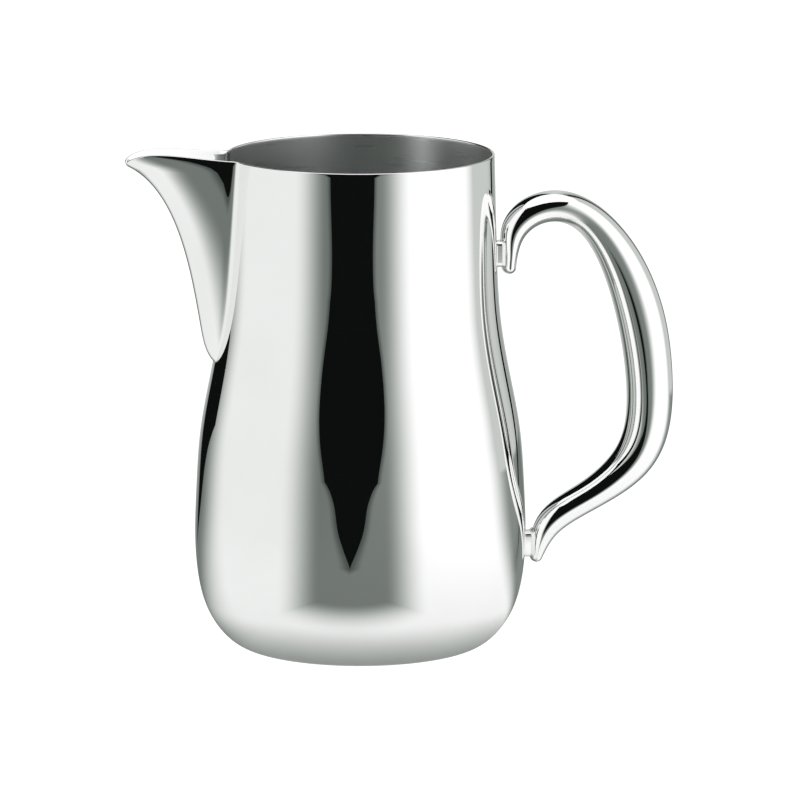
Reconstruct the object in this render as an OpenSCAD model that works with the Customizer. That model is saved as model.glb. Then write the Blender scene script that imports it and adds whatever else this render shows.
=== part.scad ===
// Water pitcher in polished sheet metal: an open pear-shaped body, a pressed
// pouring spout let into its wall, and a hollow handle stood off on two pads.
// Millimetres. +Z is up, the origin is the centre of the flat foot, the handle
// points to +X and the spout to -X.

/* [Body] */
// Height of the rim above the table
body_height = 180; // [160:1:200]
// Outer radius of the mouth
mouth_r = 48.5; // [46:0.5:50]
// Outer radius at the shoulder, where the hollow curve of the neck turns full
shoulder_r = 54; // [53:0.5:55.5]
// Height of the shoulder
shoulder_z = 100; // [95:1:105]
// Outer radius at the widest point of the belly
belly_r = 60; // [58:0.5:63]
// Height of the widest point of the belly
belly_z = 38; // [34:1:44]
// Radius of the flat foot
foot_r = 36.5; // [33:0.5:40]
// Thickness of the body's sheet
wall = 1; // [0.8:0.1:1.4]

/* [Spout] */
// How far the tip reaches out from the body's axis
tip_reach = 84.5; // [80:0.5:90]
// Height of the lower end of the spout
spout_foot_z = 105.5; // [100:0.5:112]
// Half the width of the spout's joint with the body, at the rim
joint_half_w = 17.5; // [15:0.5:20]
// Leg of the hollow curve that runs the spout out into the body
flare = 5; // [3:0.5:6]
// How far the lip rises above the rim on each side of the tip
lip_rise = 3.1; // [1:0.1:4]
// How far the tip lies below the rim
tip_drop = 2.4; // [1:0.1:3]

/* [Handle] */
// Thickness of the handle's sheet
handle_wall = 1.2; // [0.8:0.1:1.6]
// Size of the handle's cross-section against the standard one
handle_girth = 1; // [0.9:0.05:1.1]

/* [Pads] */
// Height of each pad
pad_h = 9.5; // [7:0.5:10]
// Width of each pad
pad_w = 6.5; // [5:0.5:7]
// Leg of the braze collar round each pad
braze_leg = 0.8; // [0.5:0.1:1]

/* [Hidden] */

eps = 0.01;
far = 200;                 // longer than any part, for cutters

// ---- curves ----

// Point on a cubic Bezier curve with control points p, at t from 0 to 1
function bezier(p, t) =
    pow(1 - t, 3) * p[0] + 3 * t * pow(1 - t, 2) * p[1]
    + 3 * t * t * (1 - t) * p[2] + pow(t, 3) * p[3];

function bezier_path(p, steps, first = 0) =
    [for (i = [first:steps]) bezier(p, i / steps)];

function unit(v) = v / norm(v);

// Uniform cubic B-spline through a list of control points, which starts and ends on
// its first and last ones, at t from 0 to 1
function spline(points, t) =
    let (last = len(points) - 1, s = min(t, 1 - eps * eps) * (last + 2), i = floor(s), u = s - i,
         p = [for (k = [-2:1]) points[max(0, min(last, i + k))]])
    (pow(1 - u, 3) * p[0] + (3 * pow(u, 3) - 6 * u * u + 4) * p[1]
     + (3 * u * u + 3 * u + 1 - 3 * pow(u, 3)) * p[2] + pow(u, 3) * p[3]) / 6;

// Left-hand normal of a direction in the plane
function left_of(v) = [-v[1], v[0]];

// The path moved sideways by d, to the left of its direction
function shifted(path, d) =
    let (last = len(path) - 1)
    [for (i = [0:last])
        path[i] + d * left_of(unit(path[min(i + 1, last)] - path[max(i - 1, 0)]))];

// ---- body ----

body_steps = 44;           // up the outline
body_sides = 96;           // round the axis

// Control points of the outer profile, from the foot to the rim: radius and height
body_route = [
    [foot_r, 0], [foot_r + 8.5, 0], [belly_r - 7, 7.5], [belly_r - 1.5, 19],
    [belly_r + 0.5, belly_z], [belly_r - 0.5, belly_z + 20], [belly_r - 1.5, belly_z + 41],
    [shoulder_r, shoulder_z], [shoulder_r - 3.5, shoulder_z + 19],
    [mouth_r + 1, body_height - 42], [mouth_r + 0.5, body_height - 20], [mouth_r, body_height]];

body_outline = [for (i = [0:body_steps]) spline(body_route, i / body_steps)];
body_inside = shifted(body_outline, wall);

by_height = [for (p = body_outline) [p[1], p[0]]];
function outer_r(z) = lookup(z, by_height);
function inner_r(z) = outer_r(z) - wall;

// The body as if it were solid metal, from the foot to the rim
module body_solid() {
    rotate_extrude($fn = body_sides)
        polygon(concat([[0, 0]], body_outline, [[0, body_height]]));
}

rim_clearance = 5;         // how far the cutter of the opening stands above the rim

// What the wall loses behind the spout: a tall opening with a round lower end
module spout_opening() {
    edge = [for (k = [0:rings]) [joint_w(ring_z(k, body_height)), ring_z(k, body_height)]];
    top = body_height + rim_clearance;
    rotate([90, 0, -90])
        linear_extrude(far)
            polygon(concat(edge, [[edge[rings][0], top], [-edge[rings][0], top]],
                           [for (k = [rings:-1:0]) [-edge[k][0], edge[k][1]]]));
}

module body_shell() {
    inside = len(body_inside) - 1;
    color("silver")
        difference() {
            rotate_extrude($fn = body_sides)
                polygon(concat([[0, 0]], body_outline, [[mouth_r - wall, body_height]],
                               [for (i = [inside - 1:-1:0]) body_inside[i]], [[0, wall]]));
            spout_opening();
        }
}

// ---- spout ----

rings = 22;                // levels from the lower end to the lip
wall_steps = 12;           // round the spout's own wall, ridge to flare
flare_steps = 5;           // round the hollow curve that meets the body
columns = wall_steps + flare_steps;
joint_power = 0.38;        // how fast the joint line opens out from its lower end
joint_zero = spout_foot_z - 0.5; // where the joint line would come to a point
ring_power = 1.3;          // how much closer together the rings stand low down
corner_share = 0.82;       // the wall's corner against the joint's half-width

// Half-width of the joint line on the body at height z
function joint_w(z) =
    joint_half_w * pow((z - joint_zero) / (body_height - joint_zero), joint_power);

// Height of ring k in a column that ends at the height top
function ring_z(k, top) = spout_foot_z + (top - spout_foot_z) * pow(k / rings, ring_power);

// The ridge down the front, seen from the side: radius and height. It runs up from the
// round lower end to the tip, and the last stretch shapes the lip each side of the tip.
ridge_turn = [58.2, spout_foot_z + 12.5];
tip = [tip_reach, body_height - tip_drop];
tip_lean = 1.96;           // how fast the ridge runs outward at the tip
tip_pull = 9.4;            // height over which the ridge takes up that lean
ridge_foot = [[outer_r(spout_foot_z), spout_foot_z], [outer_r(spout_foot_z) + 3, spout_foot_z + 2.5],
              [ridge_turn[0] - 1, ridge_turn[1] - 6], ridge_turn];
ridge_rise = [ridge_turn, [ridge_turn[0] + 3.4, ridge_turn[1] + 20],
              tip - tip_pull * [tip_lean, 1], tip];
ridge_lip = [tip, tip + 1.2 * [tip_lean, 1], tip + [3.1, 3], tip + [3.4, 6]];
ridge = concat(bezier_path(ridge_foot, 8), bezier_path(ridge_rise, 20, 1),
               bezier_path(ridge_lip, 6, 1));
ridge_by_height = [for (p = ridge) [p[1], p[0]]];
function ridge_r(z) = lookup(z, ridge_by_height);

// Height of the lip at the share q of the joint's half-width, 0 at the tip and 1 at the joint
lip_span = 0.9;            // the arch is over at this share
function lip_z(q) =
    body_height + lip_rise * pow(sin(180 * min(1, q / lip_span)), 2) - tip_drop * pow(1 - q, 2);

// The wall in plan at height z: a parabola from the ridge to a corner on the body
function corner_w(z) = corner_share * joint_w(z);
function corner_x(z) = sqrt(pow(outer_r(z), 2) - pow(corner_w(z), 2));
flare_limit = 0.45;        // the flare takes at most this share of the spout's depth
flare_pull = 0.55;         // roundness of the flare
function spout_flare(z) =
    min(flare * joint_w(z) / joint_half_w, flare_limit * (ridge_r(z) - corner_x(z)));
function wall_end(z) =     // where the flare starts, as a share of the parabola's width
    sqrt(1 - spout_flare(z) / max(ridge_r(z) - corner_x(z), eps));
function wall_point(q, z) =
    [-ridge_r(z) + (ridge_r(z) - corner_x(z)) * q * q, corner_w(z) * q];
function toe(z) = [-sqrt(pow(outer_r(z), 2) - pow(joint_w(z), 2)), joint_w(z)];
function flare_curve(z) =
    let (q = wall_end(z), a = wall_point(q, z), b = toe(z), pull = flare_pull * norm(b - a),
         along = unit([2 * (ridge_r(z) - corner_x(z)) * q, corner_w(z)]),
         round = unit([b[1], -b[0]]))
    [a, a + pull * along, b - pull * round, b];

// Outer point of column i at height z, in plan
function spout_out(i, z) =
    i <= wall_steps ? wall_point(wall_end(z) * i / wall_steps, z)
                    : bezier(flare_curve(z), (i - wall_steps) / flare_steps);

// Inner point: the sheet's thickness in from the outer one, and on the body's inner face at the joint
function spout_in(i, z) =
    let (here = spout_out(i, z), f = max(0, (i - wall_steps) / flare_steps),
         before = i == 0 ? [here[0], -eps] : spout_out(i - 1, z),
         after = i == columns ? here : spout_out(i + 1, z),
         inward = -wall * left_of(unit(after - before)),
         at_joint = [sqrt(pow(outer_r(z), 2) - pow(joint_w(z), 2))
                     - sqrt(pow(inner_r(z), 2) - pow(joint_w(z), 2)), 0])
    here + (1 - f) * inward + f * at_joint;

// Share of the joint's half-width at which column i meets the lip
function column_q(i) =
    i == columns ? 1 : spout_out(i, body_height)[1] / joint_w(body_height);

module spout() {
    across = 2 * columns + 1;
    outside = [for (k = [0:rings]) for (c = [-columns:columns])
        let (i = abs(c), z = ring_z(k, lip_z(column_q(i))), p = spout_out(i, z))
        [p[0], sign(c) * p[1], z]];
    inside = [for (k = [0:rings]) for (c = [-columns:columns])
        let (i = abs(c), z = ring_z(k, lip_z(column_q(i))), p = spout_in(i, z))
        [p[0], sign(c) * p[1], z]];
    color("silver")
        polyhedron(concat(outside, inside), sheet_faces(rings + 1, across), convexity = 6);
}

// Triangles that close two grids of rows by columns into one thin sheet
function sheet_faces(rows, cols) =
    let (n = rows * cols)
    concat(
        [for (k = [0:rows - 2]) for (c = [0:cols - 2])
            let (a = k * cols + c)
            each concat(quad(a, a + 1, a + cols + 1, a + cols),
                        quad(n + a, n + a + cols, n + a + cols + 1, n + a + 1))],
        [for (c = [0:cols - 2])
            let (b = (rows - 1) * cols + c)
            each concat(quad(c, n + c, n + c + 1, c + 1), quad(b, b + 1, n + b + 1, n + b))],
        [for (k = [0:rows - 2])
            let (a = k * cols, b = a + cols - 1)
            each concat(quad(a, a + cols, n + a + cols, n + a),
                        quad(b, n + b, n + b + cols, b + cols))]);

function quad(a, b, c, d) = [[a, b, c], [a, c, d]];

// ---- handle ----

// Control points of the centre line, from the curl at the top to the lower end:
// distance from the axis, height, thickness in the plane of the handle, width across it
handle_route = [
    [54.6, 137.0, 5.2, 10.0], [55.0, 142.0, 5.4, 10.5], [55.5, 150.5, 9.8, 12.0],
    [62.0, 157.5, 11.0, 14.0], [73.5, 160.0, 11.5, 15.0], [86.0, 154.0, 11.5, 16.0],
    [97.0, 138.0, 15.5, 18.0], [104.0, 118.0, 17.8, 19.5], [107.0, 98.5, 17.2, 20.0],
    [107.5, 79.0, 16.5, 19.0], [102.5, 63.5, 15.2, 17.5], [86.0, 51.5, 10.2, 14.5],
    [68.5, 43.5, 11.2, 12.5], [65.0, 29.8, 4.6, 9.0]];
handle_steps = 44;
dome_steps = 4;
dome_angle = 88;           // just short of the pole, which would have no width
half_turn_steps = 12;
way_step = 0.002;          // share of the route over which its direction is taken

function on_route(t) = spline(handle_route, t);
function route_way(t) =
    let (d = on_route(min(t + way_step, 1)) - on_route(max(t - way_step, 0)))
    unit([d[0], d[1]]);

// Stations along the tube: [centre, direction, half thickness, half width], with domed ends.
// inset is how far the surface lies inside the handle's outer one.
function stations(inset) =
    let (first = on_route(0), last = on_route(1),
         a = route_way(way_step), b = route_way(1 - way_step))
    concat(
        [for (k = [dome_steps:-1:1])
            let (g = dome_angle * k / dome_steps)
            station(first, a, -(dome(first) - inset) * sin(g), cos(g), inset)],
        [for (j = [0:handle_steps])
            station(on_route(j / handle_steps), route_way(j / handle_steps), 0, 1, inset)],
        [for (k = [1:dome_steps])
            let (g = dome_angle * k / dome_steps)
            station(last, b, (dome(last) - inset) * sin(g), cos(g), inset)]);
function dome(p) = handle_girth * p[2] / 2;
function station(p, way, ahead, share, inset) =
    [[p[0], p[1]] + ahead * way, way,
     share * (handle_girth * p[2] / 2 - inset), share * (handle_girth * p[3] / 2 - inset)];

// One point of the oval at station s, at the angle a from the inner edge of the handle
function oval(s, a, side) =
    let (n = left_of(s[1]), q = s[0] - s[2] * cos(a) * n)
    [q[0], side * s[3] * sin(a), q[1]];

// Grid of points over half of the tube, side 1 for +Y and -1 for -Y
function half_tube(inset, side) =
    [for (s = stations(inset)) for (i = [0:half_turn_steps]) oval(s, 180 * i / half_turn_steps, side)];

module handle_half(side) {
    rows = handle_steps + 1 + 2 * dome_steps;
    cols = half_turn_steps + 1;
    faces = sheet_faces_closed(rows, cols);
    color("silver")
        polyhedron(concat(half_tube(0, side), half_tube(handle_wall, side)),
                   side > 0 ? [for (f = faces) [f[2], f[1], f[0]]] : faces, convexity = 8);
}

// Half of a hollow tube: both grids, their capped ends and the seam faces in the middle plane
function sheet_faces_closed(rows, cols) =
    let (n = rows * cols, end = (rows - 1) * cols)
    concat(
        [for (k = [0:rows - 2]) for (c = [0:cols - 2])
            let (a = k * cols + c)
            each concat(quad(a, a + 1, a + cols + 1, a + cols),
                        quad(n + a, n + a + cols, n + a + cols + 1, n + a + 1))],
        [for (c = [1:cols - 2])
            each [[0, c + 1, c], [n, n + c, n + c + 1],
                  [end, end + c, end + c + 1], [n + end, n + end + c + 1, n + end + c]]],
        quad(0, n, n + cols - 1, cols - 1),
        quad(end, end + cols - 1, n + end + cols - 1, n + end),
        [for (k = [0:rows - 2])
            let (a = k * cols, b = a + cols - 1)
            each concat(quad(a, a + cols, n + a + cols, n + a),
                        quad(b, n + b, n + b + cols, b + cols))]);

module handle_near_half() { handle_half(-1); }
module handle_far_half() { handle_half(1); }

// The whole handle as if it were solid metal
module handle_solid() {
    turn = 2 * half_turn_steps;
    ring = [for (s = stations(0)) for (i = [0:turn - 1])
        oval(s, 180 * (i <= half_turn_steps ? i : turn - i) / half_turn_steps,
             i <= half_turn_steps ? 1 : -1)];
    rows = handle_steps + 1 + 2 * dome_steps;
    end = (rows - 1) * turn;
    polyhedron(ring, concat(
        [for (k = [0:rows - 2]) for (i = [0:turn - 1])
            let (a = k * turn + i, b = k * turn + (i + 1) % turn)
            each quad(a, a + turn, b + turn, b)],
        [for (i = [1:turn - 2]) each [[0, i, i + 1], [end, end + i + 1, end + i]]]), convexity = 8);
}

// ---- pads ----

upper_pad_z = 142;
lower_pad_z = 34.5;
upper_pad_end = 54.4;      // inside the handle, short of its centre line
lower_pad_end = 64.8;
pad_start = 40;            // inside the body, which cuts the pad to its own round
pad_corner = 2;            // radius of a pad's long edges

// A bar along X with rounded corners, centred at height z
module bar(z, grow, from, to) {
    r = pad_corner + grow;
    translate([from, 0, z])
        rotate([90, 0, 90])
            linear_extrude(to - from)
                union() {
                    square([pad_w + 2 * grow - 2 * r, pad_h + 2 * grow], center = true);
                    square([pad_w + 2 * grow, pad_h + 2 * grow - 2 * r], center = true);
                    for (y = [-1, 1], h = [-1, 1])
                        translate([y * (pad_w / 2 + grow - r), h * (pad_h / 2 + grow - r)])
                            circle(r, $fn = 32);
                }
}

// A pad is let in between the body and the handle, and shaped to both
module pad(z, end) {
    difference() {
        bar(z, 0, pad_start, end);
        body_solid();
        handle_solid();
    }
}

// The collar of filler metal round a pad
module braze(z, end) {
    difference() {
        bar(z, braze_leg, pad_start, end);
        bar(z, 0, pad_start - 1, end + 1);
        body_solid();
        handle_solid();
    }
}

module upper_pad() { color("silver") pad(upper_pad_z, upper_pad_end); }
module lower_pad() { color("silver") pad(lower_pad_z, lower_pad_end); }
module upper_pad_braze() { color("gainsboro") braze(upper_pad_z, upper_pad_end); }
module lower_pad_braze() { color("gainsboro") braze(lower_pad_z, lower_pad_end); }

body_shell();
spout();
handle_near_half();
handle_far_half();
upper_pad();
lower_pad();
upper_pad_braze();
lower_pad_braze();
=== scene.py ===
# %% [markdown]
# # A polished water pitcher
# The real pitcher is thin sheet metal. The body is spun to its pear shape on a lathe, a pressed
# spout is let into its wall, and a hollow handle of two pressed halves stands off on two pads.
# Here each of those pieces is one mesh, built with bmesh operators in the frame of the design.
# Metal this bright is nearly all reflection, so smooth surfaces and a plain, well-placed studio
# matter more than colour.

# %% Load the design
import math

import bmesh
import bpy
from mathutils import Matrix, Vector


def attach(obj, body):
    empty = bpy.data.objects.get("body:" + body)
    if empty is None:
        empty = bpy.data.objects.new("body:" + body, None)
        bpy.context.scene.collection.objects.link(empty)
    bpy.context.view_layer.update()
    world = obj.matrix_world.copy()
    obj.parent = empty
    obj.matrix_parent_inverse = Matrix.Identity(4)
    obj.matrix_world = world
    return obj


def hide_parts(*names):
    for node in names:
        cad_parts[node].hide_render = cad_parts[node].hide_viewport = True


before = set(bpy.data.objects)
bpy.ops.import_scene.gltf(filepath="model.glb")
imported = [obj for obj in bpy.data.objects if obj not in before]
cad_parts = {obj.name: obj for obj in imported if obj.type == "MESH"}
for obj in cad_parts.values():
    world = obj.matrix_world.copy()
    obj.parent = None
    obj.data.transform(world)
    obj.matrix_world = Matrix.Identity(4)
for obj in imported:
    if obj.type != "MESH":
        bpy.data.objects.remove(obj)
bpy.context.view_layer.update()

# %% [markdown]
# The shapes are worked out in millimetres, as on a workshop drawing, and Blender works in
# metres. One number turns the first into the second.

# %% Units
MM = 0.001


def metres(x, y, z):
    return Vector((x, y, z)) * MM


# %% [markdown]
# ## Curves
# A spun profile has no corners, and any kink in it would show as a kink in the reflections. A
# uniform B-spline is smooth in slope and in curvature, so the body and the handle both follow
# one. The spout's ridge and its hollow flare are short, and a Bezier curve is enough for each.

# %% Curve helpers
NEARLY_ALL = 0.9999


def spline(points, share):
    last = len(points) - 1
    along = min(share, NEARLY_ALL) * (last + 2)
    span = math.floor(along)
    u = along - span
    p = [Vector(points[max(0, min(last, span + k))]) for k in (-2, -1, 0, 1)]
    weights = ((1 - u) ** 3, 3 * u**3 - 6 * u**2 + 4, 1 + 3 * u + 3 * u**2 - 3 * u**3, u**3)
    return sum((w * q for w, q in zip(weights, p)), p[0] * 0) / 6


def bezier(p, t):
    s = 1 - t
    return s**3 * p[0] + 3 * t * s**2 * p[1] + 3 * t * t * s * p[2] + t**3 * p[3]


def between(table, key):
    """Reads a table of (key, value) pairs, in rising order of key, with straight lines between."""
    low, high = 0, len(table) - 1
    while high - low > 1:
        middle = (low + high) // 2
        if table[middle][0] <= key:
            low = middle
        else:
            high = middle
    (k0, v0), (k1, v1) = table[low], table[high]
    share = max(0.0, min(1.0, (key - k0) / max(k1 - k0, 1e-9)))
    return v0 + (v1 - v0) * share


# %% [markdown]
# ## From bmesh to object
# Every piece ends the same way: points that fell on one place are merged, and its bmesh becomes
# a mesh at the origin, smooth shaded, with edges sharper than a set angle left crisp.
#
# Where two pieces meet in one polished surface, Blender averages each side on its own, and the
# reflection would break at the joint. `carry_on` gives the corners there the normal of the
# surface that carries on past the joint, so the eye finds no seam, as on well-planished metal.

# %% Mesh helpers
CRISP_ANGLE = math.radians(40)
SAME_PLACE = 0.0005 * MM


def make_piece(name, bm):
    bmesh.ops.remove_doubles(bm, verts=bm.verts, dist=SAME_PLACE)
    mesh = bpy.data.meshes.new(name)
    bm.to_mesh(mesh)
    bm.free()
    mesh.shade_smooth()
    mesh.set_sharp_from_angle(angle=CRISP_ANGLE)
    piece = bpy.data.objects.new(name, mesh)
    bpy.context.scene.collection.objects.link(piece)
    print(name, len(mesh.vertices), "vertices", len(mesh.polygons), "faces")
    return piece


def carry_on(piece, rule):
    """Gives each corner the normal that the rule names for its place, if it names one."""
    mesh = piece.data
    now = [corner.vector.copy() for corner in mesh.corner_normals]
    wanted = [(0.0, 0.0, 0.0)] * len(now)
    changed = 0
    for corner, normal in enumerate(now):
        place = mesh.vertices[mesh.loops[corner].vertex_index].co
        better = rule(place / MM, normal)
        if better is not None:
            wanted[corner] = better
            changed += 1
    mesh.normals_split_custom_set(wanted)
    print(piece.name, "normals carried on at", changed, "corners")


# %% [markdown]
# ## The body
# The body is one spun piece: flat foot, full belly, hollow neck, upright rim. The outline below
# is its outside, from the edge of the foot to the rim, as control points of radius and height.
# The inside lies one sheet thickness further in, measured square to the surface.

# %% Body outline
WALL = 1.0
RIM_HEIGHT = 180.0
SPOUT_FOOT = 105.0
BODY_ROUTE = [
    (36.5, 0),
    (45, 0),
    (53, 7.5),
    (58.5, 19),
    (60.5, 38),
    (59.5, 58),
    (58.5, 79),
    (54, 100),
    (50.5, 119),
    (49.5, 138),
    (49, 160),
    (48.5, 180),
]
FINE_STEPS = 900
fine = [spline(BODY_ROUTE, step / FINE_STEPS) for step in range(FINE_STEPS + 1)]
radius_at = [(p[1], p[0]) for p in fine]
lean_at = []
for before, after in zip(fine, fine[1:]):
    way = (after - before).normalized()
    lean_at.append(((before[1] + after[1]) / 2, -way[0]))


def outer_r(z):
    return between(radius_at, z)


def body_normal(x, y, z):
    """Outward normal of the body's outside at a point of height z."""
    lean = between(lean_at, z)
    level = math.sqrt(1 - lean * lean)
    return Vector((x, y, 0)).normalized() * level + Vector((0, 0, lean))


print("belly", round(max(p[0] for p in fine), 2), "mm, mouth", round(outer_r(RIM_HEIGHT), 2), "mm")

# %% [markdown]
# The joint between spout and body runs up the wall on both sides. It opens quickly from a point
# and then climbs almost straight. Body and spout both take their edges from these two rules,
# with their rows of vertices at the same heights, so the edges fall exactly on each other.

# %% Joint line
JOINT_HALF_WIDTH = 17.5
JOINT_POWER = 0.38
RINGS = 64
RING_POWER = 1.3


def ring_z(share, top):
    """Height of a ring in a column that ends at `top`; the rings stand closer low down."""
    return SPOUT_FOOT + (top - SPOUT_FOOT) * share**RING_POWER


def joint_w(z):
    climbed = max(0.0, z - SPOUT_FOOT) / (RIM_HEIGHT - SPOUT_FOOT)
    return JOINT_HALF_WIDTH * climbed**JOINT_POWER


def joint_angle(z):
    return math.asin(joint_w(z) / outer_r(z))


print("joint at the rim", round(math.degrees(joint_angle(RIM_HEIGHT)), 1), "degrees each side")

# %% [markdown]
# The outline becomes a chain of vertices, up the outside, over a half-round rim and down the
# inside. `spin` turns it round the axis, but stops a hair short of the full turn, so that the
# two ends of each ring can still be told apart. Then each ring is let out or drawn in round
# the axis until its two ends stand on the joint line. Below the spout they meet and are merged.
# That opens the wall like a zip, and needs no Boolean, which would leave long thin faces that
# spoil a mirror finish.

# %% Body mesh
AROUND = 224
SPUN = math.radians(359.9)
LOW_ROWS = 78
RIM_STEPS = 8
FLOOR_RING = 18.0
SHORT_OF_FOOT = 0.3
SAME_RING = 0.002 * MM


def half_round(z_top):
    """Points over the rim, from outside to inside."""
    middle = outer_r(z_top) - WALL / 2
    for step in range(1, RIM_STEPS):
        turn = math.pi * step / RIM_STEPS
        yield middle + WALL / 2 * math.cos(turn), z_top + WALL / 2 * math.sin(turn)


low_part = [p for p in fine if p[1] < SPOUT_FOOT - SHORT_OF_FOOT]
spacing = (len(low_part) - 1) / LOW_ROWS
outside = [tuple(low_part[round(row * spacing)]) for row in range(LOW_ROWS + 1)]
rim_base = RIM_HEIGHT - WALL / 2
heights = [min(ring_z(k / RINGS, RIM_HEIGHT), rim_base) for k in range(RINGS + 1)]
outside += [(outer_r(z), z) for z in heights]
chain = [(0.0, 0.0, 0.0), (FLOOR_RING, 0.0, 0.0)]
inside = []
for r, z in outside:
    opening = joint_angle(z)
    normal = body_normal(r, 0, z)
    chain.append((r, z, opening))
    inside.append((r - WALL * normal.x, max(WALL, z - WALL * normal.z), opening))
chain += [(r, z, joint_angle(rim_base)) for r, z in half_round(rim_base)]
chain += inside[::-1]
chain += [(FLOOR_RING, WALL, 0.0), (0.0, WALL, 0.0)]

bm = bmesh.new()
opening_layer = bm.verts.layers.float.new("opening")
last = None
for r, z, opening in chain:
    vertex = bm.verts.new(metres(-r, 0, z))
    vertex[opening_layer] = opening
    if last is not None:
        bm.edges.new((last, vertex))
    last = vertex
bmesh.ops.spin(
    bm,
    geom=bm.verts[:] + bm.edges[:],
    cent=(0, 0, 0),
    axis=(0, 0, 1),
    dvec=(0, 0, 0),
    angle=SPUN,
    steps=AROUND,
    use_merge=False,
    use_duplicate=False,
)
for vertex in bm.verts:
    x, y, z = vertex.co
    turned = math.atan2(-y, -x) % math.tau
    if turned > SPUN + 1e-4:
        turned = 0.0
    opening = vertex[opening_layer]
    wanted = opening + (math.tau - 2 * opening) * turned / SPUN
    radius = math.hypot(x, y)
    vertex.co = (-radius * math.cos(wanted), -radius * math.sin(wanted), z)
bm.verts.layers.float.remove(opening_layer)
bmesh.ops.remove_doubles(bm, verts=bm.verts, dist=SAME_RING)
bmesh.ops.recalc_face_normals(bm, faces=bm.faces)
print("chain of", len(chain), "points, spun in", AROUND, "steps")

# %% [markdown]
# The outside is mirror polished and the inside is left satin, so the faces get a material index
# now, while it is easy to tell them apart by how far from the axis they lie. Then the cut edge
# of the opening is closed: each side is bridged from skin to skin, and its end at the rim gets
# one small face. Last, the corners on the joint take the normal of the turned body.

# %% Body faces by finish
OUTSIDE, INSIDE, RIM = 0, 1, 2
for face in bm.faces:
    middle = face.calc_center_median() / MM
    radius = math.hypot(middle.x, middle.y)
    if middle.z > rim_base:
        face.material_index = RIM
    elif middle.z > WALL / 2 and radius < outer_r(middle.z) - WALL / 2:
        face.material_index = INSIDE


def edges_left_open(side):
    """Open edges on one side of the opening, as the ones on the rim and the ones below it."""
    found = [e for e in bm.edges if len(e.link_faces) == 1]
    found = [e for e in found if (e.verts[0].co.y + e.verts[1].co.y) * side > 0]
    rim_edges = [e for e in found if max(v.co.z for v in e.verts) > (rim_base + 0.001) * MM]
    return rim_edges, [e for e in found if e not in rim_edges]


for side in (-1, 1):
    rim_edges, wall_edges = edges_left_open(side)
    bmesh.ops.bridge_loops(bm, edges=wall_edges)
    rim_edges, wall_edges = edges_left_open(side)
    bmesh.ops.contextual_create(bm, geom=rim_edges + wall_edges)
still_open = sum(len(edge.link_faces) != 2 for edge in bm.edges)
print("edges of the body left open", still_open)
body = make_piece("body", bm)


JOINT_REACH = 0.012
SAME_WAY = 0.8


def on_joint(place):
    """True on the line where spout and body meet, on the outer or the inner skin."""
    if place.x > 0 or place.z < SPOUT_FOOT - 0.5 or place.z > rim_base + 0.01:
        return False
    away = abs(abs(place.y) / math.hypot(place.x, place.y) - math.sin(joint_angle(place.z)))
    return away < JOINT_REACH


def body_carries_on(place, normal):
    """The turned body's normal, kept on the side that the face already shows."""
    if not on_joint(place):
        return None
    wanted = body_normal(place.x, place.y, place.z)
    facing = wanted.dot(normal)
    if abs(facing) < SAME_WAY:
        return None
    return wanted if facing > 0 else -wanted


carry_on(body, body_carries_on)

# %% [markdown]
# ## The spout
# The spout is pressed from one sheet. Seen from above, each level is a parabola from the ridge
# at the front back to a corner near the body, and then a hollow curve that runs out into the
# body's round. Seen from the side, the ridge starts flush with the wall, swells, and sweeps
# out to the tip. A grid placed by these rules is the most direct way to make it: `create_grid`
# gives the faces, and every vertex is then moved to its level and its share of the width.

# %% Spout rules
TIP = Vector((84.5, 177.6))
TIP_LEAN = Vector((1.96, 1.0))
TIP_PULL = 9.4
RIDGE_STEPS = 60
LIP_RISE = 3.1
LIP_SPAN = 0.9
TIP_DROP = 2.4
FLARE = 5.0
FLARE_LIMIT = 0.45
FLARE_PULL = 0.55
CORNER_SHARE = 0.82
WALL_COLUMNS = 0.66
ridge_turn = Vector((58.2, 118.0))
start_r = outer_r(SPOUT_FOOT)
ridge_parts = [
    [
        Vector((start_r, SPOUT_FOOT)),
        Vector((start_r + 3, SPOUT_FOOT + 3)),
        ridge_turn - Vector((1, 6)),
        ridge_turn,
    ],
    [ridge_turn, ridge_turn + Vector((3.4, 20)), TIP - TIP_PULL * TIP_LEAN, TIP],
    [TIP, TIP + 1.2 * TIP_LEAN, TIP + Vector((3.1, 3)), TIP + Vector((3.4, 6))],
]
shares = [step / RIDGE_STEPS for step in range(RIDGE_STEPS + 1)]
ridge_points = [bezier(part, share) for part in ridge_parts for share in shares]
ridge_table = [(p[1], p[0]) for k, p in enumerate(ridge_points) if k % len(shares) or k == 0]


def ridge_r(z):
    return between(ridge_table, z)


def corner(z):
    """Where the parabola would end on the body: distance along -X, and half-width."""
    half_width = CORNER_SHARE * joint_w(z)
    return math.sqrt(outer_r(z) ** 2 - half_width**2), half_width


def spout_point(share, z):
    """Plan point of the outer skin, share 0 at the ridge and 1 at the joint."""
    x, half_width = corner(z)
    depth = max(ridge_r(z) - x, 0.01)
    flare = min(FLARE * joint_w(z) / JOINT_HALF_WIDTH, FLARE_LIMIT * depth)
    end = math.sqrt(1 - flare / depth)
    if share <= WALL_COLUMNS:
        q = end * share / WALL_COLUMNS
        return Vector((-x - depth + depth * q * q, half_width * q))
    a = Vector((-x - depth + depth * end * end, half_width * end))
    b = Vector((-math.sqrt(outer_r(z) ** 2 - joint_w(z) ** 2), joint_w(z)))
    pull = FLARE_PULL * (b - a).length
    leaving = Vector((2 * depth * end, half_width)).normalized() * pull
    landing = Vector((b.y, -b.x)).normalized() * pull
    return bezier([a, a + leaving, b - landing, b], (share - WALL_COLUMNS) / (1 - WALL_COLUMNS))


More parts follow.
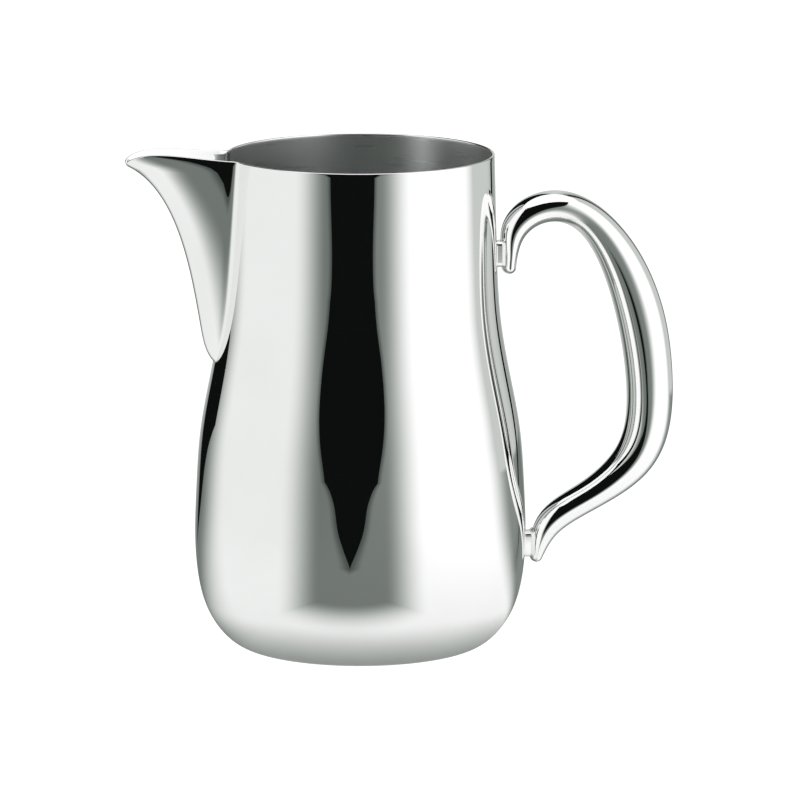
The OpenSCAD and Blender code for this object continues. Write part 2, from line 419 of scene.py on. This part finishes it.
def lip_z(share):
    """Height of the lip above one column: low at the tip, an arch on each side of it."""
    q = spout_point(share, RIM_HEIGHT).y / JOINT_HALF_WIDTH
    arch = math.sin(math.pi * min(1.0, q / LIP_SPAN)) ** 2
    return RIM_HEIGHT + LIP_RISE * arch - TIP_DROP * (1 - q) ** 2


print("tip of the spout", [round(v, 1) for v in TIP], "lip arch", round(lip_z(0.5), 2), "mm")

# %% [markdown]
# After the outer skin is in place, `solidify` gives it the thickness of the sheet, towards the
# inside. The lip's edge is then rounded with a small bevel so that it catches a thin line of
# light, like the rim it runs into.

# %% Spout mesh
COLUMNS = 44
NEARLY_AT_JOINT = 0.9999
bm = bmesh.new()
bmesh.ops.create_grid(bm, x_segments=2 * COLUMNS, y_segments=RINGS, size=0.5)
for vertex in bm.verts:
    across, up = 2 * vertex.co.x, vertex.co.y + 0.5
    share = min(1.0, abs(across))
    level = round(up * RINGS) / RINGS
    if level == 0:
        vertex.co = metres(-outer_r(SPOUT_FOOT), 0, SPOUT_FOOT)
        continue
    top = lip_z(share)
    z = ring_z(level, top)
    if share > NEARLY_AT_JOINT:
        z = min(z, RIM_HEIGHT)
    plan = spout_point(share, z)
    vertex.co = metres(plan.x, math.copysign(plan.y, across), z)
bmesh.ops.remove_doubles(bm, verts=bm.verts, dist=SAME_RING)
bmesh.ops.recalc_face_normals(bm, faces=bm.faces)
if sum(face.normal.x for face in bm.faces) > 0:
    bmesh.ops.reverse_faces(bm, faces=bm.faces)
for face in bm.faces:
    face.material_index = OUTSIDE
bmesh.ops.solidify(bm, geom=bm.faces[:], thickness=WALL * MM)
bm.normal_update()
spout_heights = [vertex.co.z / MM for vertex in bm.verts]
print("spout from", round(min(spout_heights), 1), "to", round(max(spout_heights), 1), "mm")
LIP_ROUND = 0.42
LIP_LOWEST = 177.0
LEVEL_EDGE = 0.6
lip_edges = [
    edge
    for edge in bm.edges
    if len(edge.link_faces) == 2
    and min(v.co.z for v in edge.verts) > LIP_LOWEST * MM
    and edge.calc_face_angle() > math.radians(60)
    and abs(edge.verts[0].co.z - edge.verts[1].co.z) < LEVEL_EDGE * MM
]
bmesh.ops.bevel(
    bm,
    geom=lip_edges,
    offset=LIP_ROUND * MM,
    segments=4,
    profile=0.5,
    affect="EDGES",
    material=-1,
    clamp_overlap=True,
)
spout = make_piece("pouring_spout", bm)
carry_on(spout, body_carries_on)

# %% [markdown]
# ## The handle
# The handle is a hollow oval tube that swells into a full grip and thins towards both ends. It
# is pressed in two halves that are joined down the middle plane. The route below holds, for
# each control point, the distance from the axis, the height, the thickness in the plane of the
# handle and the width across it. Each half is a grid wrapped half-way round that route, closed
# by a dome at each end. The same grid turns back at the middle plane and runs along the inside,
# so that the sheet has its thickness.

# %% Handle route
HANDLE_ROUTE = [
    (54.6, 137.0, 5.2, 10.0),
    (55.0, 142.0, 5.4, 10.5),
    (55.5, 150.5, 9.8, 12.0),
    (62.0, 157.5, 11.0, 14.0),
    (73.5, 160.0, 11.5, 15.0),
    (86.0, 154.0, 11.5, 16.0),
    (97.0, 138.0, 15.5, 18.0),
    (104.0, 118.0, 17.8, 19.5),
    (107.0, 98.5, 17.2, 20.0),
    (107.5, 79.0, 16.5, 19.0),
    (102.5, 63.5, 15.2, 17.5),
    (86.0, 51.5, 10.2, 14.5),
    (68.5, 43.5, 11.2, 12.5),
    (65.0, 29.8, 4.6, 9.0),
]
HANDLE_WALL = 1.2
ROUTE_ROWS = 170
DOME_ROWS = 12
HALF_TURN = 30
WAY_STEP = 0.002


def route_way(share):
    """Direction in which the route runs, from a short step either side of the place."""
    ahead = spline(HANDLE_ROUTE, min(share + WAY_STEP, 1))
    behind = spline(HANDLE_ROUTE, max(share - WAY_STEP, 0))
    return Vector((ahead[0] - behind[0], ahead[1] - behind[1])).normalized()


def station(row, inset):
    """Centre, direction, half thickness and half width at one row of a skin of the tube."""
    into_dome = max(DOME_ROWS - row, row - DOME_ROWS - ROUTE_ROWS, 0)
    share = max(0.0, min(1.0, (row - DOME_ROWS) / ROUTE_ROWS))
    here = spline(HANDLE_ROUTE, share)
    way = route_way(share)
    turn = math.pi / 2 * into_dome / DOME_ROWS
    thick, wide = here[2] / 2 - inset, here[3] / 2 - inset
    ahead = thick * math.sin(turn) * (-1 if row < DOME_ROWS else 1)
    centre = Vector((here[0], here[1])) + ahead * way
    return centre, way, thick * math.cos(turn), wide * math.cos(turn)


print("grip", round(spline(HANDLE_ROUTE, 0.6)[2], 1), "mm thick at the middle")

# %% Handle halves


def handle_half(name, side):
    """Columns run over the outer skin, back along the inner one, and end where they began."""
    rows, columns = ROUTE_ROWS + 2 * DOME_ROWS, 2 * HALF_TURN + 2
    skins = [[station(row, inset) for row in range(rows + 1)] for inset in (0, HANDLE_WALL)]
    half = bmesh.new()
    bmesh.ops.create_grid(half, x_segments=columns, y_segments=rows, size=0.5)
    for vertex in half.verts:
        column = round((vertex.co.x + 0.5) * columns) % columns
        row = round((vertex.co.y + 0.5) * rows)
        inner = column > HALF_TURN
        turn = math.pi * (columns - 1 - column if inner else column) / HALF_TURN
        centre, way, thick, wide = skins[inner][row]
        middle = centre - thick * math.cos(turn) * Vector((-way.y, way.x))
        vertex.co = metres(middle.x, side * wide * abs(math.sin(turn)), middle.y)
    bmesh.ops.remove_doubles(half, verts=half.verts, dist=SAME_PLACE)
    bmesh.ops.recalc_face_normals(half, faces=half.faces)
    print(name, "open edges", sum(len(e.link_faces) != 2 for e in half.edges))
    return make_piece(name, half)


def seam_carries_on(place, normal):
    """On the seam between the halves the skin is square to the middle plane."""
    if abs(place.y) > 0.001 or abs(normal.y) > 0.5:
        return None
    return Vector((normal.x, 0, normal.z)).normalized()


handle_near = handle_half("handle_near", -1)
handle_far = handle_half("handle_far", 1)
for half in (handle_near, handle_far):
    carry_on(half, seam_carries_on)

# %% [markdown]
# ## Pads and braze
# A small rounded pad at each end keeps the handle off the body, and a collar of filler metal
# runs round each pad. The pad is a cube made long and narrow, with its four long edges
# bevelled. It ends inside the sheet of the body and inside the handle, where nobody sees it.
# The collar starts as the outline of the pad. It is extruded from the body to the handle in
# short steps, and each ring is pushed out by a hollow curve, as molten filler draws itself into
# both corners.

# %% Pads
PAD_WIDTH, PAD_HEIGHT, PAD_CORNER = 6.5, 9.5, 2.0
PADS = {"upper": (142.0, 54.4), "lower": (34.5, 64.8)}
PAD_SINK = 0.6


def pad(name, z, end):
    bar = bmesh.new()
    start = outer_r(z) - PAD_SINK
    bmesh.ops.create_cube(bar, size=1)
    bmesh.ops.scale(bar, verts=bar.verts, vec=metres(end - start, PAD_WIDTH, PAD_HEIGHT))
    bmesh.ops.translate(bar, verts=bar.verts, vec=metres((start + end) / 2, 0, z))
    long_edges = [e for e in bar.edges if abs(e.verts[0].co.x - e.verts[1].co.x) > 0.1 * MM]
    bmesh.ops.bevel(
        bar,
        geom=long_edges,
        offset=PAD_CORNER * MM,
        segments=8,
        profile=0.5,
        affect="EDGES",
        material=-1,
    )
    return make_piece(name, bar)


pad_upper = pad("pad_upper", *PADS["upper"])
pad_lower = pad("pad_lower", *PADS["lower"])

# %% Braze collars
BRAZE_LEG = 0.8
BRAZE_WAIST = 0.2
BRAZE_HOLLOW = 2.2
COLLAR_RINGS = 14
CORE_HALF_WIDTH, CORE_HALF_HEIGHT = 1.0, 2.6
HANDLE_INSIDE = {"upper": 52.7, "lower": 63.9}


def collar(name, z, end):
    ring = bmesh.new()
    start = outer_r(z) - PAD_SINK
    bmesh.ops.create_grid(ring, x_segments=1, y_segments=1, size=0.5)
    bmesh.ops.scale(ring, verts=ring.verts, vec=metres(PAD_WIDTH, PAD_HEIGHT, 1))
    bmesh.ops.bevel(
        ring,
        geom=ring.verts[:],
        offset=PAD_CORNER * MM,
        segments=8,
        profile=0.5,
        affect="VERTICES",
        material=-1,
    )
    bmesh.ops.delete(ring, geom=ring.faces[:], context="FACES_ONLY")
    outline = [(v, v.co.copy()) for v in ring.verts]
    for vertex, flat in outline:
        vertex.co = (start * MM, flat.x, flat.y + z * MM)
    loop = ring.edges[:]
    for k in range(1, COLLAR_RINGS + 1):
        made = bmesh.ops.extrude_edge_only(ring, edges=loop)["geom"]
        moved = [v for v in made if isinstance(v, bmesh.types.BMVert)]
        bmesh.ops.translate(ring, verts=moved, vec=((end - start) / COLLAR_RINGS * MM, 0, 0))
        edges = [e for e in made if isinstance(e, bmesh.types.BMEdge)]
        loop = [e for e in edges if all(v in moved for v in e.verts)]
    middle = Vector((0, 0, z * MM))
    for vertex in ring.verts:
        from_waist = abs(2 * (vertex.co.x / MM - start) / (end - start) - 1)
        grow = BRAZE_LEG * from_waist**BRAZE_HOLLOW - BRAZE_WAIST * (1 - from_waist)
        out = (Vector((0, vertex.co.y, vertex.co.z)) - middle) / MM
        y = max(-CORE_HALF_WIDTH, min(CORE_HALF_WIDTH, out.y))
        z_up = max(-CORE_HALF_HEIGHT, min(CORE_HALF_HEIGHT, out.z))
        vertex.co += (out - Vector((0, y, z_up))).normalized() * grow * MM
    bmesh.ops.holes_fill(ring, edges=[e for e in ring.edges if len(e.link_faces) == 1], sides=0)
    bmesh.ops.recalc_face_normals(ring, faces=ring.faces)
    return make_piece(name, ring)


braze_upper = collar("braze_upper", PADS["upper"][0], HANDLE_INSIDE["upper"])
braze_lower = collar("braze_lower", PADS["lower"][0], HANDLE_INSIDE["lower"])

# %% [markdown]
# ## Finishes
# Bright metal is a Principled shader with Metallic at 1 and very little roughness. Even a
# well-buffed surface has faint marks, so two effects are node groups that several finishes
# share: the fine lines that a buffing wheel leaves, and the soft haze where hands have been.

# %% Node helpers


def add(tree, kind, **settings):
    node = tree.nodes.new(kind)
    for key, value in settings.items():
        setattr(node, key, value)
    return node


def join(tree, source, output, target, name):
    tree.links.new(source.outputs[output], target.inputs[name])


def open_group(name, inputs, outputs):
    tree = bpy.data.node_groups.new(name, "ShaderNodeTree")
    for label, kind, start in inputs:
        socket = tree.interface.new_socket(label, in_out="INPUT", socket_type=kind)
        if start is not None:
            socket.default_value = start
    for label, kind in outputs:
        tree.interface.new_socket(label, in_out="OUTPUT", socket_type=kind)
    return tree, add(tree, "NodeGroupInput"), add(tree, "NodeGroupOutput")


# %% Buffing lines
buffing, enter, leave = open_group(
    "Buffing lines",
    [
        ("Vector", "NodeSocketVector", None),
        ("Stretch", "NodeSocketVector", (1.0, 1.0, 1.0)),
        ("Fineness", "NodeSocketFloat", 900.0),
        ("Smooth", "NodeSocketFloat", 0.02),
        ("Rough", "NodeSocketFloat", 0.05),
    ],
    [("Roughness", "NodeSocketFloat"), ("Height", "NodeSocketFloat")],
)
drawn_out = add(buffing, "ShaderNodeVectorMath", operation="MULTIPLY")
join(buffing, enter, "Vector", drawn_out, 0)
join(buffing, enter, "Stretch", drawn_out, 1)
lines = add(buffing, "ShaderNodeTexNoise")
lines.inputs["Detail"].default_value = 4.0
lines.inputs["Roughness"].default_value = 0.6
join(buffing, drawn_out, "Vector", lines, "Vector")
join(buffing, enter, "Fineness", lines, "Scale")
spread = add(buffing, "ShaderNodeMapRange")
spread.inputs["From Min"].default_value = 0.3
spread.inputs["From Max"].default_value = 0.7
join(buffing, lines, "Fac", spread, "Value")
join(buffing, enter, "Smooth", spread, "To Min")
join(buffing, enter, "Rough", spread, "To Max")
join(buffing, spread, "Result", leave, "Roughness")
join(buffing, lines, "Fac", leave, "Height")

# %% Handling haze
haze, enter, leave = open_group(
    "Handling haze",
    [
        ("Vector", "NodeSocketVector", None),
        ("Patch Size", "NodeSocketFloat", 60.0),
        ("Roughness", "NodeSocketFloat", 0.03),
        ("Extra", "NodeSocketFloat", 0.02),
        ("Clean", "NodeSocketColor", (0.9, 0.9, 0.9, 1.0)),
        ("Hazy", "NodeSocketColor", (0.88, 0.88, 0.87, 1.0)),
    ],
    [("Color", "NodeSocketColor"), ("Roughness", "NodeSocketFloat")],
)
patches = add(haze, "ShaderNodeTexNoise")
patches.inputs["Detail"].default_value = 3.0
join(haze, enter, "Vector", patches, "Vector")
join(haze, enter, "Patch Size", patches, "Scale")
mask = add(haze, "ShaderNodeMapRange", interpolation_type="SMOOTHSTEP")
mask.inputs["From Min"].default_value = 0.45
mask.inputs["From Max"].default_value = 0.75
join(haze, patches, "Fac", mask, "Value")
tint = add(haze, "ShaderNodeMix", data_type="RGBA")
join(haze, mask, "Result", tint, "Factor")
haze.links.new(enter.outputs["Clean"], tint.inputs[6])
haze.links.new(enter.outputs["Hazy"], tint.inputs[7])
haze.links.new(tint.outputs[2], leave.inputs["Color"])
duller = add(haze, "ShaderNodeMath", operation="MULTIPLY_ADD")
join(haze, mask, "Result", duller, 0)
join(haze, enter, "Extra", duller, 1)
join(haze, enter, "Roughness", duller, 2)
haze.links.new(duller.outputs[0], leave.inputs["Roughness"])

# %% [markdown]
# One function builds every metal from those two groups. What differs is how smooth it is, which
# way the lines run, how deep they are and how bright the metal is. The body turned on a lathe,
# so its lines run round it. That is a noise whose X and Y are squeezed to almost nothing.

# %% Metals


def metal(name, clean, hazy, smooth, rough, extra, stretch, fineness, depth, patch_size=35.0):
    material = bpy.data.materials.new(name)
    material.use_nodes = True
    tree = material.node_tree
    shader = tree.nodes["Principled BSDF"]
    shader.inputs["Metallic"].default_value = 1.0
    where = add(tree, "ShaderNodeTexCoord")
    wheel = add(tree, "ShaderNodeGroup", node_tree=buffing)
    wheel.inputs["Stretch"].default_value = stretch
    wheel.inputs["Fineness"].default_value = fineness
    wheel.inputs["Smooth"].default_value = smooth
    wheel.inputs["Rough"].default_value = rough
    hands = add(tree, "ShaderNodeGroup", node_tree=haze)
    hands.inputs["Patch Size"].default_value = patch_size
    hands.inputs["Extra"].default_value = extra
    hands.inputs["Clean"].default_value = (*clean, 1.0)
    hands.inputs["Hazy"].default_value = (*hazy, 1.0)
    relief = add(tree, "ShaderNodeBump")
    relief.inputs["Strength"].default_value = 1.0
    relief.inputs["Distance"].default_value = depth
    join(tree, where, "Object", wheel, "Vector")
    join(tree, where, "Object", hands, "Vector")
    join(tree, wheel, "Roughness", hands, "Roughness")
    join(tree, wheel, "Height", relief, "Height")
    join(tree, hands, "Color", shader, "Base Color")
    join(tree, hands, "Roughness", shader, "Roughness")
    join(tree, relief, "Normal", shader, "Normal")
    return material


BRIGHT = (0.93, 0.93, 0.93)
SOFTER = (0.91, 0.912, 0.908)
ROUND_THE_AXIS = (0.02, 0.02, 1.0)
EVERY_WAY = (1.0, 1.0, 1.0)
mirror_body = metal(
    "Mirror body", BRIGHT, SOFTER, 0.012, 0.02, 0.012, ROUND_THE_AXIS, 1500.0, 0.0000002
)
satin_inside = metal(
    "Satin inside", (0.82, 0.84, 0.83), (0.78, 0.8, 0.79), 0.26, 0.36, 0.04,
    ROUND_THE_AXIS, 1800.0, 0.000004
)
bright_rim = metal("Bright rim", BRIGHT, SOFTER, 0.05, 0.1, 0.02, EVERY_WAY, 900.0, 0.000001)
mirror_spout = metal(
    "Mirror spout", BRIGHT, SOFTER, 0.012, 0.02, 0.012, EVERY_WAY, 400.0, 0.0000002
)
mirror_handle = metal(
    "Mirror handle", BRIGHT, SOFTER, 0.012, 0.025, 0.02, EVERY_WAY, 400.0, 0.0000002
)
pad_metal = metal("Pad metal", BRIGHT, SOFTER, 0.04, 0.1, 0.03, EVERY_WAY, 600.0, 0.000001)
braze_metal = metal(
    "Braze metal", (0.86, 0.86, 0.85), (0.8, 0.8, 0.79), 0.12, 0.22, 0.08, EVERY_WAY, 900.0,
    0.00001
)
print("finishes", [material.name for material in bpy.data.materials])

# %% [markdown]
# Each piece takes its finish, rides on the one rigid body of the design, and stands in for the
# plain design solid of the same part.

# %% Give each piece its finish
FINISHES = {
    "body_shell": ([mirror_body, satin_inside, bright_rim], "polished_body"),
    "spout": ([mirror_spout], "polished_spout"),
    "handle_near_half": ([mirror_handle], "polished_handle"),
    "handle_far_half": ([mirror_handle], "polished_handle"),
    "upper_pad": ([pad_metal], "polished_pad"),
    "lower_pad": ([pad_metal], "polished_pad"),
    "upper_pad_braze": ([braze_metal], "braze"),
    "lower_pad_braze": ([braze_metal], "braze"),
}
sheet_pieces = [body, spout, handle_near, handle_far]
made_pieces = sheet_pieces + [pad_upper, pad_lower, braze_upper, braze_lower]
for piece, node in zip(made_pieces, FINISHES):
    finishes, slot = FINISHES[node]
    for finish in finishes:
        piece.data.materials.append(finish)
    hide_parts(node)
    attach(piece, "root")

# %% [markdown]
# ## The studio
# A mirror shows the room, so the room is kept plain: a pale floor and white light from every
# side. The floor glows by itself, so that it looks as white as the surround however far it
# runs. In reflections only half of its light is its own, so that the pitcher can shade it.

# %% Floor and white surround
CAMERA_SWING = math.radians(-10)
toward_camera = Vector((math.sin(CAMERA_SWING), -math.cos(CAMERA_SWING), 0))
to_the_right = Vector((math.cos(CAMERA_SWING), math.sin(CAMERA_SWING), 0))

STUDIO_WHITE = 1.12
world = bpy.data.worlds.new("White surround")
bpy.context.scene.world = world
world.use_nodes = True
world.node_tree.nodes["Background"].inputs["Color"].default_value = (1, 1, 1, 1)
world.node_tree.nodes["Background"].inputs["Strength"].default_value = STUDIO_WHITE
bpy.context.scene.view_settings.view_transform = "Standard"

FLOOR_RADIUS = 30.0
FLOOR_GLOW = 1.02
bm = bmesh.new()
bmesh.ops.create_circle(bm, cap_ends=True, radius=FLOOR_RADIUS, segments=64)
floor = make_piece("floor", bm)
floor_paint = bpy.data.materials.new("Pale floor")
floor_paint.use_nodes = True
tree = floor_paint.node_tree
matt = tree.nodes["Principled BSDF"]
matt.inputs["Base Color"].default_value = (0.98, 0.98, 0.98, 1)
matt.inputs["Roughness"].default_value = 1.0
matt.inputs["Specular IOR Level"].default_value = 0.0
glow = add(tree, "ShaderNodeEmission")
glow.inputs["Strength"].default_value = STUDIO_WHITE * FLOOR_GLOW
ray = add(tree, "ShaderNodeLightPath")
share = add(tree, "ShaderNodeMapRange")
share.inputs["To Min"].default_value = 0.5
join(tree, ray, "Is Camera Ray", share, "Value")
blend = add(tree, "ShaderNodeMixShader")
join(tree, share, "Result", blend, "Fac")
tree.links.new(matt.outputs["BSDF"], blend.inputs[1])
tree.links.new(glow.outputs["Emission"], blend.inputs[2])
join(tree, blend, "Shader", tree.nodes["Material Output"], "Surface")
floor.data.materials.append(floor_paint)

# %% [markdown]
# Bright metal in an all-white room would have no form. Its dark bands are the dark that it sees
# past the edges of the white, so round the pitcher stands a white screen with three gaps. Each
# gap starts as a point on the floor and widens outwards and upwards. The front one gives the
# body its dark middle band. The two behind draw the dark lines that part the metal from the
# white background. Beside each gap the white falls off softly, as cloth does where less light
# reaches it.
#
# Floor and screen share one veil, which is clear where the studio is white and dark in the
# gaps. It works in reflections only: the camera never sees it, and it casts no shadow.

# %% Shade of the studio


def reflection_only(card):
    card.visible_camera = False
    card.visible_diffuse = False
    card.visible_shadow = False
    card.visible_transmission = False


veil_paint = bpy.data.materials.new("Studio veil")
veil_paint.use_nodes = True
tree = veil_paint.node_tree
tree.nodes.remove(tree.nodes["Principled BSDF"])
where = add(tree, "ShaderNodeTexCoord")
height = add(tree, "ShaderNodeSeparateXYZ")
join(tree, where, "Object", height, "Vector")


def sum_of(kind, first, second):
    """A Math node on two things, each a node's output or a plain number."""
    node = add(tree, "ShaderNodeMath", operation=kind)
    for slot, value in enumerate((first, second)):
        if isinstance(value, (int, float)):
            node.inputs[slot].default_value = value
        else:
            tree.links.new(value, node.inputs[slot])
    return node.outputs[0]


def along(direction):
    """How far the place lies from the axis in one direction."""
    node = add(tree, "ShaderNodeVectorMath", operation="DOT_PRODUCT")
    node.inputs[1].default_value = direction
    join(tree, where, "Object", node, 0)
    return node.outputs["Value"]


def rise(value, start, end, low, high):
    """A soft step from `low` at `start` to `high` at `end`."""
    node = add(tree, "ShaderNodeMapRange", interpolation_type="SMOOTHSTEP")
    for label, number in zip(("From Min", "From Max", "To Min", "To Max"), (start, end, low, high)):
        node.inputs[label].default_value = number
    tree.links.new(value, node.inputs["Value"])
    return node.outputs["Result"]


def seen_from(start, degrees):
    """Distance ahead of a point on the floor in one direction, and distance to the side."""
    turn = math.radians(degrees)
    way = toward_camera * math.cos(turn) + to_the_right * math.sin(turn)
    side = Vector((-way.y, way.x, 0))
    origin = toward_camera * start[0] + to_the_right * start[1]
    ahead = sum_of("SUBTRACT", along(way), origin.dot(way))
    aside = sum_of("SUBTRACT", along(side), origin.dot(side))
    return ahead, sum_of("ABSOLUTE", aside, 0)


SPREAD_POWER = 1.25
EDGE_BREADTH, EDGE_WIDENING = 0.03, 0.06
ROUND_THE_POINT = 0.8


def gap_light(start, degrees, spread, lean, edge_levels, halo):
    """Light that comes past one gap: 0 in it, the edge levels beside it, 1 well away from it.

    The gap opens from `start` in the direction `degrees`, by `spread` outwards and `lean`
    upwards. The halo has its own start and direction, begins between two distances ahead of
    that start, and fades between two angles to the side.
    """
    ahead, aside = seen_from(start, degrees)
    forward = sum_of("MAXIMUM", ahead, 0.0)
    edge = sum_of("MULTIPLY", sum_of("POWER", forward, SPREAD_POWER), spread)
    raised = sum_of("MULTIPLY", height.outputs["Z"], sum_of("GREATER_THAN", ahead, 0.0))
    edge = sum_of("ADD", edge, sum_of("MULTIPLY", raised, lean))
    outside_gap = sum_of("GREATER_THAN", sum_of("SUBTRACT", aside, edge), 0.0)
    short_of = sum_of("MAXIMUM", sum_of("MULTIPLY", ahead, -ROUND_THE_POINT), 0.0)
    past_edge = sum_of("ADD", sum_of("SUBTRACT", aside, edge), short_of)
    breadth = sum_of("ADD", sum_of("MULTIPLY", forward, EDGE_WIDENING), EDGE_BREADTH)
    base = rise(sum_of("DIVIDE", past_edge, breadth), 0.0, 1.0, *edge_levels)
    ahead, aside = seen_from(halo["start"], halo["degrees"])
    angle = sum_of("ARCTAN2", aside, ahead)
    white = rise(angle, *[math.radians(side) for side in halo["fades"]], 0.0, 1.0)
    white = sum_of("MAXIMUM", white, rise(ahead, *halo["begins"], 1.0, 0.0))
    level = sum_of("ADD", base, sum_of("MULTIPLY", white, sum_of("SUBTRACT", 1.0, base)))
    return sum_of("MULTIPLY", outside_gap, level)


front_halo = {"start": (0.022, 0), "degrees": -5.2, "begins": (0.042, 0.086), "fades": (21.5, 52)}
left_halo = {"start": (0.08, 0.06), "degrees": -139, "begins": (0.1, 0.16), "fades": (0, 29)}
right_halo = {"start": (0, 0), "degrees": 135, "begins": (0, 0.05), "fades": (12.5, 39.5)}
front_gap = gap_light((0.219, -0.023), -6, 0.36, 0.46, (0.085, 0.2), front_halo)
left_gap = gap_light((-0.151, -0.116), -143.5, 0.28, 0.3, (0.19, 0.21), left_halo)
right_gap = gap_light((-0.07, 0.13), 153, 0.05, 0.05, (0.2, 0.24), right_halo)

# %% [markdown]
# Four softer differences finish the room, all painted into the veil. Far from the pitcher the white
# beside the right gap is brighter than near it. The side behind the pitcher gives less light than
# the front, the left side a little less than the right, and next to the foot the veil paints a
# shade on the floor, on top of the real shade that the pitcher casts there.

# %% Light away from the gaps
FAR_LEVEL, BACK_LEVEL, LEFT_LEVEL, FOOT_LEVEL = 0.55, 0.6, 0.8, 0.4
from_axis = add(tree, "ShaderNodeVectorMath", operation="LENGTH")
join(tree, where, "Object", from_axis, 0)
far_light = rise(from_axis.outputs["Value"], 0.45, 0.6, 0.0, FAR_LEVEL)
beside_gap = sum_of("GREATER_THAN", right_gap, 0.01)
right_gap = sum_of("MAXIMUM", right_gap, sum_of("MULTIPLY", far_light, beside_gap))
behind, aside = seen_from((0, 0), 180)
off_back = sum_of("ARCTAN2", aside, behind)
back_light = rise(off_back, math.radians(25), math.radians(45), BACK_LEVEL, 1.0)
left_side = rise(along(to_the_right), -0.4, 0.4, LEFT_LEVEL, 1.0)
# Painted shade: the veil darkens the floor's reflection close to the foot, beyond its real shade.
foot_shade = rise(from_axis.outputs["Value"], 0.04, 0.075, FOOT_LEVEL, 1.0)
light = front_gap
for share_of_light in (left_gap, right_gap, left_side, back_light, foot_shade):
    light = sum_of("MULTIPLY", light, share_of_light)
print("veil of", len(tree.nodes), "nodes")

# %% [markdown]
# The whites on the metal are neutral, but its greys lean very slightly to green. A green metal
# would tint both. So the tint is in the veil, which raises the light to a slightly different
# power in each channel: that leaves white alone and turns the greys by a few hundredths. The
# gaps themselves aren't quite black.

# %% Colour of the shade
shade = add(tree, "ShaderNodeCombineColor")
for channel, power in (("Red", 1.06), ("Green", 1.0), ("Blue", 1.05)):
    tree.links.new(sum_of("POWER", light, power), shade.inputs[channel])
black = add(tree, "ShaderNodeEmission")
black.inputs["Color"].default_value = (0.004, 0.005, 0.0047, 1)
clear = add(tree, "ShaderNodeBsdfTransparent")
join(tree, shade, "Color", clear, "Color")
veil = add(tree, "ShaderNodeAddShader")
tree.links.new(black.outputs["Emission"], veil.inputs[0])
tree.links.new(clear.outputs["BSDF"], veil.inputs[1])
join(tree, veil, "Shader", tree.nodes["Material Output"], "Surface")

# %% Round screen
SCREEN_RADIUS = 1.6
SCREEN_HEIGHT = 2.5
bm = bmesh.new()
bmesh.ops.create_circle(bm, cap_ends=True, radius=SCREEN_RADIUS, segments=128)
bmesh.ops.translate(bm, verts=bm.verts, vec=(0, 0, MM))
raised = bmesh.ops.extrude_edge_only(bm, edges=bm.edges[:])["geom"]
bmesh.ops.translate(
    bm, verts=[v for v in raised if isinstance(v, bmesh.types.BMVert)], vec=(0, 0, SCREEN_HEIGHT)
)
screen = make_piece("screen", bm)
screen.data.materials.append(veil_paint)
reflection_only(screen)

# %% [markdown]
# The camera stands 2.5 m away with a long lens and looks slightly down, so the pitcher is seen
# with very little perspective.

# %% Camera
CAMERA_DISTANCE, CAMERA_HEIGHT, AIM_HEIGHT, ASIDE = 2.5, 0.565, 0.0896, 0.0144
camera_data = bpy.data.cameras.new("camera")
camera_data.sensor_width = 36.0
camera_data.lens = 316.2
camera = bpy.data.objects.new("camera", camera_data)
bpy.context.scene.collection.objects.link(camera)
camera.location = toward_camera * CAMERA_DISTANCE + to_the_right * ASIDE
camera.location.z = CAMERA_HEIGHT
aim = to_the_right * ASIDE + Vector((0, 0, AIM_HEIGHT))
camera.rotation_mode = "QUATERNION"
camera.rotation_quaternion = (aim - camera.location).to_track_quat("-Z", "Y")
bpy.context.scene.camera = camera
